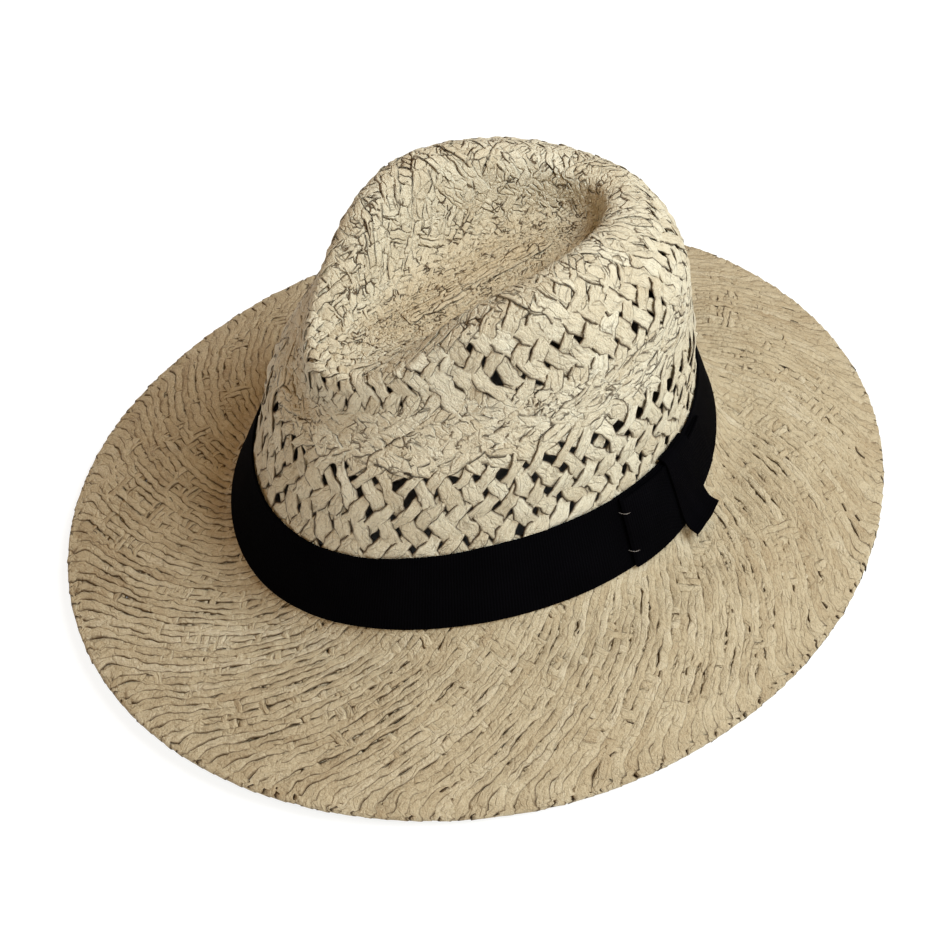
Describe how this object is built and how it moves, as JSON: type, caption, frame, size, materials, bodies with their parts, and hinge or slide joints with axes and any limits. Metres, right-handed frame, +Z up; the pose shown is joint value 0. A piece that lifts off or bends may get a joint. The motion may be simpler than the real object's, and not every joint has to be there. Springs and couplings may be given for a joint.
{
  "type": "woven straw panama hat",
  "caption": "Woven straw sun hat with a pinched teardrop crown, open vent rows, a wide wired brim, a dark ribbon band with a flat bow, and a lined head opening.",
  "frame": {"origin": "middle of the footprint, at the level the brim rests on", "axes": "-Y is the front of the hat, +X the wearer's left (the bow side), +Z up through the crown"},
  "size_m": [0.3, 0.347, 0.1449],
  "materials": {
    "straw": "woven twisted paper straw, natural beige, matte",
    "wire": "thin spring wire, hidden in the hem",
    "ribbon": "black grosgrain ribbon, matte",
    "sweatband_cloth": "black cotton twill",
    "label_cloth": "plain off-white satin tape, blank"
  },
  "bodies": {
    "root": {"straw_body": "straw", "brim_edge_wire": "wire", "ribbon_band": "ribbon", "bow_front_loop": "ribbon", "bow_rear_loop": "ribbon", "bow_knot": "ribbon", "sweatband": "sweatband_cloth", "sweatband_seam_tape": "sweatband_cloth", "care_label": "label_cloth"}
  },
  "joints": []
}
